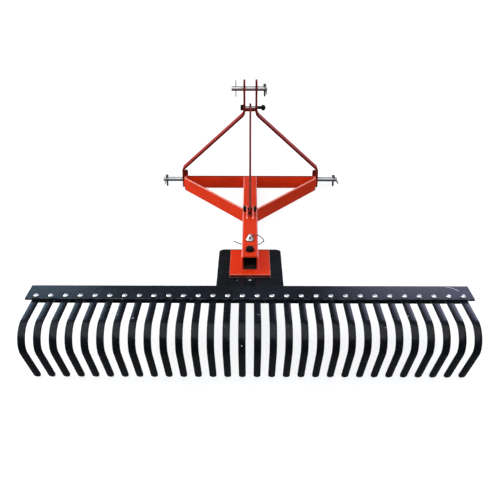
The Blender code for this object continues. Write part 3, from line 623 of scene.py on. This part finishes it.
boom_weld_z = pivot_top + 0.001
for side, x in (("left", -1), ("right", 1)):
    foot = x * (boom_half + 0.0006)
    frame_weld(f"{side}_boom_weld", (foot, 0.1690, boom_weld_z), (foot, 0.3360, boom_weld_z), 0.0044)
    frame_weld(f"{side}_boom_end_weld", (x * 0.0150, 0.1652, boom_weld_z),
               (x * 0.0330, 0.1652, boom_weld_z), 0.0034)


# Kingpin: the hexagon bolt that holds boom and swivel bed together, with a washer under its head and
# a nut and washer below. Black oxide steel, oiled, and rubbed to bare metal in small spots.

def black_oxide(name):
    """Black oxide: dark steel, oily in places, browner where it has dried out."""
    material, shader, place = new_finish(name, Specular_IOR_Level=0.05)
    oily = place.noise(120, 4, 0.6)
    pale_patches = place.noise(340, 3, 0.7).between(0.60, 0.74)
    colour = oily.between(0.3, 0.7).blend((0.003, 0.003, 0.0035, 1), (0.011, 0.009, 0.008, 1))
    (pale_patches * 0.3).blend(colour, (0.12, 0.11, 0.10, 1)).lay_on(shader["Base Color"])
    (pale_patches * 0.6).lay_on(shader["Metallic"])
    (0.30 + oily * 0.25).lay_on(shader["Roughness"])
    oily.bump(0.2, 0.0004).lay_on(shader["Normal"])
    return material


def threads(name, radius, low, high, pitch):
    """A threaded length: a crest and a root every pitch."""
    root = radius * 0.86
    rings = [(low, root)]
    at = low + pitch / 2
    while at < high - pitch / 2:
        rings += [(at, radius), (at + pitch / 2, root)]
        at += pitch
    return turn_up(name, rings + [(high, radius * 0.84)], 24)


oxide = black_oxide("black_oxide_steel")
kingpin_flats = 0.0286
kingpin_turn = 0.2
kingpin_bolt = join(
    "kingpin_bolt",
    hexagon("head", kingpin_flats, 0.0745, 0.0862),
    turn_up("head_washer", [(0.0721, 0.0178), (0.0724, 0.0182), (0.0742, 0.0182), (0.0745, 0.0178)], 40),
    turn_up("shank", [(-0.0365, 0.0080), (-0.0350, 0.0093), (0.0750, 0.0093)], 32),
    turn_up("nut_washer", [(-0.0189, 0.0176), (-0.0186, 0.0180), (-0.0170, 0.0180), (-0.0167, 0.0176)], 40),
    hexagon("nut", kingpin_flats, -0.0325, -0.0189, True),
)
turned = Matrix.Rotation(kingpin_turn, 4, "Z")
bolt = copy_to(kingpin_bolt, "kingpin_hex_bolt", Matrix.Translation((0, kingpin_y, 0)) @ turned)
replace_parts(bolt, "kingpin")
fit(bolt, "hitch_frame", "black_oxide", oxide)
bpy.data.objects.remove(kingpin_bolt)


# Lock pin and its spring wire: a cone-headed pin dropped through boom and pivot plate to hold the
# angle, cross drilled for a wire that springs round the boom. Turned steel and spring wire, zinc
# plated; the pin's collar and the shank below it take the black oxide finish, as painted shade at the
# cone's foot.

lock_y = kingpin_y + 0.090
lock_seat = boom_top + 0.0003
eye_height = 0.0135
cone = turn_up("lock_pin_cone", [
    (-0.0043, 0.0080), (-0.0028, 0.0099), (lock_seat, 0.0099), (lock_seat + 0.0001, 0.0166),
    (lock_seat + 0.0008, 0.0174), (lock_seat + 0.0036, 0.0174), (lock_seat + 0.0046, 0.0166),
    (lock_seat + 0.0120, 0.0126), (lock_seat + 0.0190, 0.0086), (lock_seat + 0.0240, 0.0054),
    (lock_seat + 0.0262, 0.0032), (lock_seat + 0.0270, 0.0008)], 48)
eye = turn_up("eye", [(-0.03, 0.0044), (0.03, 0.0044)], 24)
eye.data.transform(Matrix.Translation((0, 0, lock_seat + eye_height))
                   @ Matrix.Rotation(math.pi / 2, 4, "X"))
cut_with(cone, eye, "DIFFERENCE")
bpy.ops.object.shade_smooth_by_angle(angle=math.radians(32))
cone.data.transform(level @ Matrix.Translation((0, lock_y, 0)))
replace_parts(cone, "lock_pin")
fit(cone, "hitch_frame", "zinc_plate", zinc, oxide)
# Collar and the shank below it in black oxide: painted shade at the cone's foot.
for face in cone.data.polygons:
    if (unlevel @ face.center).z < lock_seat + 0.0040:
        face.material_index = 1


def bent_wire(name, points, diameter):
    """Spring wire bent through points of the level rake, as a closed tube."""
    curve = bpy.data.curves.new(name, "CURVE")
    curve.dimensions = "3D"
    curve.bevel_depth = diameter / 2
    curve.bevel_resolution = 3
    curve.use_fill_caps = True
    line = curve.splines.new("BEZIER")
    line.resolution_u = 8
    line.bezier_points.add(len(points) - 1)
    for knot, point in zip(line.bezier_points, points):
        knot.co = point
        knot.handle_left_type = knot.handle_right_type = "AUTO"
    hold(new_piece(name, curve))
    bpy.ops.object.convert(target="MESH")
    wire = bpy.context.object
    bpy.ops.object.mode_set(mode="EDIT")
    close_up()
    wire.data.transform(level)
    bpy.ops.object.shade_smooth_by_angle(angle=math.radians(50))
    fit(wire, "hitch_frame", "zinc_plate", dull_zinc)
    return wire


wire_z = lock_seat + eye_height
under = boom_low - 0.0023
wire_bends = [
    (0, 0.0010, wire_z), (0, 0.0070, wire_z), (0, 0.0150, wire_z), (0.0114, 0.0256, 0.0808),
    (0.0355, 0.0300, 0.0758), (0.0565, 0.0420, 0.0488), (0.0510, 0.0730, 0.0225),
    (0.0390, 0.0900, under), (0.0130, 0.0940, under), (-0.0130, 0.0920, under),
    (-0.0385, 0.0920, under), (-0.0705, 0.1120, under + 0.003)]
lock_wire = bent_wire("lock_spring_wire", [(x, lock_y + y, z) for x, y, z in wire_bends], 0.0040)
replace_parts(lock_wire, "lock_wire")


# Hitch frame: a crossbar of flat bar across the boom's front, two diagonals back to the boom's sides
# and two small lugs at its corners. Flat bar on edge, bent and welded, in the same enamel as the boom.
# The diagonals' rounded edges and narrow tops carry a pale painted highlight; the crossbar's rounded
# edges and narrow top, and the whole lugs, a dark painted shade.

crossbar_y = 0.9997
mast_inner = 0.3315
mast_rear = crossbar_y - 0.015
weld_gap = 0.0006


def paint_tops(bar):
    """Gives a bar's narrow top face its edges' finish too, which is painted light: a pale highlight on the
    diagonals, dark shade on the crossbar.
    """
    for face in bar.data.polygons:
        if (unlevel.to_3x3() @ face.normal).z > 0.9:
            face.material_index = 1


# A pale copy of the enamel for the diagonals' rounded edges and narrow tops: a painted highlight.
top_highlight_enamel = enamel("red_enamel_top_highlight", 0.50)
crossbar = cad_copy("crossbar", "front_crossbar")
break_edges(crossbar, 0.0016)
# The crossbar's rounded edges and narrow top take the dark enamel: painted shade.
fit(crossbar, "hitch_frame", "red_paint", red_enamel, painted_shade_enamel)
paint_tops(crossbar)
for side, x in (("left", -1), ("right", 1)):
    diagonal = cad_copy(f"{side}_diagonal", f"{side}_stay")
    break_edges(diagonal, 0.0016)
    fit(diagonal, "hitch_frame", "red_paint", red_enamel, top_highlight_enamel)
    paint_tops(diagonal)
    lug = cad_copy(f"{side}_corner_lug", f"{side}_corner_ear")
    break_edges(lug, 0.0010)
    # The corner lugs are wholly in the dark enamel: painted shade.
    fit(lug, "hitch_frame", "red_paint", painted_shade_enamel, painted_shade_enamel)
    boom_side = x * (boom_half + weld_gap)
    stay_end = x * (boom_half + 0.0008)
    mast_side = x * (mast_inner - weld_gap)
    for joint, run_x, run_y, low, high in (
        ("crossbar", boom_side, crossbar_y - weld_gap, 0.012, 0.068),
        ("stay_rear", stay_end, 0.6040, 0.012, 0.068),
        ("stay_front", stay_end, 0.6192, 0.012, 0.068),
        ("stay_mast", mast_side, mast_rear - weld_gap, 0.024, 0.066),
        ("crossbar_mast", mast_side, crossbar_y + 0.0104, 0.024, 0.066),
    ):
        frame_weld(f"{side}_{joint}_weld", (run_x, run_y, low), (run_x, run_y, high), 0.0036)
    ear_y = crossbar_y + weld_gap
    frame_weld(f"{side}_ear_weld", (x * (mast_inner - 0.0140), ear_y, boom_top + 0.0004),
               (x * (mast_inner - 0.0030), ear_y, boom_top + 0.0004), 0.0036)


# Mast: two flat bars, bent in over the boom to a narrow throat for the top link, with a small tie
# between them at the throat. Their feet carry the lower hitch pins. The same enamel, darkened on the
# bars as painted shade, and darker still on their narrow faces and rounded edges, painted shade too.

def paint_sides(bar):
    """Gives a bar's narrow rear and front faces its edges' finish too: on the mast bars and the brace a dark
    painted shade.
    """
    for face in bar.data.polygons:
        if abs(face.normal.x) < 0.15:
            face.material_index = 1


# A darker copy of the enamel for the mast bars: painted shade; their edges and narrow faces take the darker
# one.
shaded_mast_enamel = enamel("red_enamel_mast_shaded", 0.22, painted_shade_red, (0.47, 0.025, 0.005, 1))
for side in ("left", "right"):
    bar = cad_copy(f"{side}_mast_bar", f"{side}_mast")
    break_edges(bar, 0.0018)
    fit(bar, "hitch_frame", "red_paint", shaded_mast_enamel, painted_shade_enamel)
    paint_sides(bar)
tie = cad_copy("mast_crosspiece", "mast_tie")
break_edges(tie, 0.0009)
# The tie's rounded edges take the pale enamel: a painted highlight.
fit(tie, "hitch_frame", "red_paint", red_enamel, red_enamel_highlight)
for side, x in (("left", -0.0232), ("right", 0.0232)):
    frame_weld(f"{side}_tie_weld", (x, 1.0282, 0.3985), (x, 1.0282, 0.4080), 0.0020)


# Rear brace: one flat bar from the mast's throat down to two ears on the boom, bolted at both ends.
# Enamelled flat bar; the bolts are black oxide, and the mast's has a bright shank between the bars.

mast_y = crossbar_y + 0.010
mast_bolt_z = 0.422
lug_y = 0.5517
lug_z = 0.0968
lug_foot = boom_top + 0.0004
brace = cad_copy("rear_brace", "rear_stay_bar")
break_edges(brace, 0.0018)
# The brace's rounded edges and narrow faces take the dark enamel: painted shade.
fit(brace, "hitch_frame", "red_paint", red_enamel, painted_shade_enamel)
paint_sides(brace)
for side, x in (("left", -1), ("right", 1)):
    ear = cad_copy(f"{side}_brace_lug", f"{side}_stay_ear")
    break_edges(ear, 0.0009)
    # The ears' rounded edges take the pale enamel: a painted highlight.
    fit(ear, "hitch_frame", "red_paint", red_enamel, red_enamel_highlight)
    frame_weld(f"{side}_ear_weld", (x * 0.0164, lug_y - 0.041, lug_foot),
               (x * 0.0164, lug_y + 0.041, lug_foot), 0.0030)
    # The ears' end welds are in the pale enamel: a painted highlight.
    frame_weld(f"{side}_ear_end_weld", (x * 0.0104, lug_y - 0.0424, lug_foot),
               (x * 0.0158, lug_y - 0.0424, lug_foot), 0.0034, red_enamel_highlight)

across = Matrix.Rotation(math.pi / 2, 4, "Y")
mast_bolt = join(
    "mast_bolt_pattern",
    hexagon("head", 0.024, -0.0478, -0.0357),
    turn_up("head_washer", [(-0.0357, 0.0148), (-0.0354, 0.0151), (-0.0340, 0.0151), (-0.0337, 0.0148)], 36),
    threads("thread", 0.0079, 0.0338, 0.0732, 0.0021),
    hexagon("nut", 0.024, 0.0542, 0.0690, True),
)
mast_bolt_place = Matrix.Translation((0, mast_y, mast_bolt_z)) @ across
bolt = copy_to(mast_bolt, "mast_hex_bolt", mast_bolt_place)
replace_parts(bolt, "mast_bolt")
fit(bolt, "hitch_frame", "black_oxide", oxide)
bpy.data.objects.remove(mast_bolt)
shank = turn_up("mast_bolt_shank", [(-0.0350, 0.0079), (0.0345, 0.0079)], 36)
bpy.ops.object.shade_smooth_by_angle(angle=math.radians(38))
shank.data.transform(level @ mast_bolt_place)
fit(shank, "hitch_frame", "zinc_plate", zinc)

lug_bolt = join(
    "lug_bolt_pattern",
    hexagon("head", 0.0235, -0.0300, -0.0184),
    turn_up("head_washer", [(-0.0184, 0.0120), (-0.0182, 0.0123), (-0.0166, 0.0123), (-0.0163, 0.0120)], 32),
    turn_up("shank", [(-0.0170, 0.0069), (0.0170, 0.0069)], 24),
    turn_up("nut_washer", [(0.0163, 0.0120), (0.0166, 0.0123), (0.0178, 0.0123), (0.0180, 0.0120)], 32),
    hexagon("nut", 0.022, 0.0180, 0.0264, True),
    threads("thread", 0.0069, 0.0262, 0.0290, 0.0018),
)
bolt = copy_to(lug_bolt, "lug_hex_bolt", Matrix.Translation((0, lug_y, lug_z)) @ across)
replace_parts(bolt, "lug_bolt")
fit(bolt, "hitch_frame", "black_oxide", oxide)
bpy.data.objects.remove(lug_bolt)


# Hitch pins: turned steel pins, two in the mast's feet for the lower links and one across its throat
# for the top link, each held by a linch pin with a spring ring. A hairpin clip stops the top one's
# other end. All zinc plated.

lower_z = 0.053
top_z = lower_z + 0.460
lower_pin_end = mast_inner + 0.110
lower_linch = lower_pin_end - 0.019


def hitch_pin(name, node, low, high, radius, z):
    """A plain pin with chamfered ends and a turned groove just inside each."""
    groove = radius - 0.0006
    end = [(0, radius - 0.0030), (0.0028, radius), (0.0085, radius),
           (0.0090, groove), (0.0105, groove), (0.0110, radius)]
    rings = [(low + inset, r) for inset, r in end] + [(high - inset, r) for inset, r in reversed(end)]
    pin = turn_up(name, rings, 40)
    bpy.ops.object.shade_smooth_by_angle(angle=math.radians(30))
    pin.data.transform(level @ Matrix.Translation((0, mast_y, z)) @ across)
    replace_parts(pin, node)
    fit(pin, "hitch_frame", "zinc_plate", zinc)


linch_ring = 0.0235              # the radius of the ring of spring wire


def linch_pin(name, node, x, z, side, tilt):
    """A linch pin through a hitch pin: stem, round head and the spring ring that snaps over it."""
    stem = turn_up("stem", [
        (-0.0375, 0.0018), (-0.0352, 0.0036), (-0.0315, 0.00475), (0.0125, 0.00475), (0.0138, 0.0062),
        (0.0150, 0.0074), (0.0172, 0.0078), (0.0205, 0.0075), (0.0225, 0.0062), (0.0237, 0.0040),
        (0.0241, 0.0010)], 28)
    ring = begin("ring", bpy.ops.mesh.primitive_torus_add, major_radius=linch_ring, minor_radius=0.0018,
                 major_segments=56, minor_segments=10, rotation=(0, math.pi / 2, 0))
    hold(ring)
    hung = Matrix.Rotation(-side * tilt, 4, "Y") @ Matrix.Translation((0, 0, -linch_ring))
    ring.data.transform(Matrix.Translation((0, 0, 0.0180)) @ hung)
    pin = join(name + "_pattern", stem, ring)
    placed = copy_to(pin, name, Matrix.Translation((x, mast_y, z)))
    bpy.data.objects.remove(pin)
    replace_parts(placed, node)
    fit(placed, "hitch_frame", "zinc_plate", dull_zinc)


for side, x in (("left", -1), ("right", 1)):
    ends = sorted((x * (mast_inner + 0.0003), x * lower_pin_end))
    hitch_pin(f"{side}_link_pin", f"{side}_lower_pin", *ends, 0.0111, lower_z)
linch_pin("left_linch_ring", "left_linch_pin", -lower_linch, lower_z, -1, math.radians(16))
linch_pin("right_linch_ring", "right_linch_pin", lower_linch, lower_z, 1, math.radians(34))
hitch_pin("top_link_pin", "top_pin", -0.091, 0.080, 0.0110, top_z)
linch_pin("top_linch_ring", "top_linch_pin", 0.068, top_z, 1, math.radians(14))
clip_x = -0.069
clip_bends = [
    (0, -0.039), (0, -0.012), (0, 0.018), (0.0008, 0.0320), (0.0052, 0.0385), (0.0112, 0.0320),
    (0.0146, 0.0117), (0.0165, 0), (0.0146, -0.0136), (0.0111, -0.0234), (0.0190, -0.0330)]
clip = bent_wire("top_hairpin_clip", [(clip_x, mast_y + y, top_z + z) for y, z in clip_bends], 0.0042)
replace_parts(clip, "top_pin_clip")


# Studio: white floor paper lit a little from behind and kept out of reflections, a pale backdrop that
# only the camera sees, a large soft light overhead, a key light from the left with a fill from the
# right, and two low cool panels ahead of the rake that put a sheen on the ends of the black beam.

white = (1, 1, 1, 1)
black = (0, 0, 0, 1)
let_go()
bpy.ops.mesh.primitive_plane_add(size=30, location=(0, 0, 0))
floor = bpy.context.object
floor.name = "studio_floor"
material, shader, place = new_finish("floor_paper", Roughness=0.9, Emission_Strength=0.72,
                                     Emission_Color=white)
fibres = place.noise(3, 3).between(0.2, 0.8)
fibres.blend((0.36, 0.36, 0.36, 1), (0.38, 0.38, 0.38, 1)).lay_on(shader["Base Color"])
floor.data.materials.append(material)
floor.visible_diffuse = False
floor.visible_glossy = False

let_go()
bpy.ops.mesh.primitive_uv_sphere_add(segments=48, ring_count=24, radius=40, location=(0, 0, 0))
dome = bpy.context.object
dome.name = "studio_backdrop"
material, shader, place = new_finish("backdrop_paper", Roughness=1.0, Emission_Strength=0.9,
                                     Base_Color=black)
clouds = place.noise(0.05, 2).between(0.2, 0.8)
clouds.blend((0.88, 0.89, 0.91, 1), (0.93, 0.93, 0.94, 1)).lay_on(shader["Emission Color"])
dome.data.materials.append(material)
dome.visible_diffuse = False
dome.visible_glossy = False
dome.visible_shadow = False
dome.visible_transmission = False

sky = bpy.data.worlds.new("studio_sky")
sky.use_nodes = True
glow = sky.node_tree.nodes["Background"].inputs
glow["Color"].default_value = (0.88, 0.94, 1.0, 1)
glow["Strength"].default_value = 0.13
bpy.context.scene.world = sky


def softbox(name, location, towards, wide, high, power, colour=(1, 1, 1)):
    """A rectangle of soft light, of a size in metres and a power in watts, turned towards a point."""
    light = bpy.data.lights.new(name, "AREA")
    light.shape = "RECTANGLE"
    light.size = wide
    light.size_y = high
    light.energy = power
    light.color = colour
    box = new_piece(name, light)
    box.location = location
    box.rotation_euler = (Vector(towards) - Vector(location)).to_track_quat("-Z", "Y").to_euler()


softbox("overhead", (-0.3, -0.9, 4.6), (0, 0, 0.1), 9.5, 7.6, 400, (0.95, 0.975, 1.0))
softbox("left_key", (-4.6, 0.2, 1.4), (0, 0.2, 0.2), 2.0, 2.0, 190)
softbox("right_fill", (4.5, -1.2, 1.2), (0, 0.4, 0.2), 2.0, 2.0, 50)
softbox("left_panel", (-3.4, 5.0, 1.3), (-0.4, -0.4, 0.2), 2.8, 1.5, 58, (0.50, 0.74, 1.0))
softbox("right_panel", (3.1, 5.0, 1.3), (0.4, -0.4, 0.2), 3.6, 1.6, 108, (0.68, 0.68, 1.0))

camera = new_piece("camera", bpy.data.cameras.new("camera"))
camera.data.lens = 45.08
camera.data.sensor_width = 36
tilted = Matrix.Rotation(math.radians(61.545), 4, "X")
rolled = Matrix.Rotation(math.radians(0.15), 4, "Z")
camera.matrix_world = level @ Matrix.Translation((0, -1.9667, 1.2552)) @ tilted @ rolled
bpy.context.scene.camera = camera
bpy.context.scene.view_settings.view_transform = "Standard"
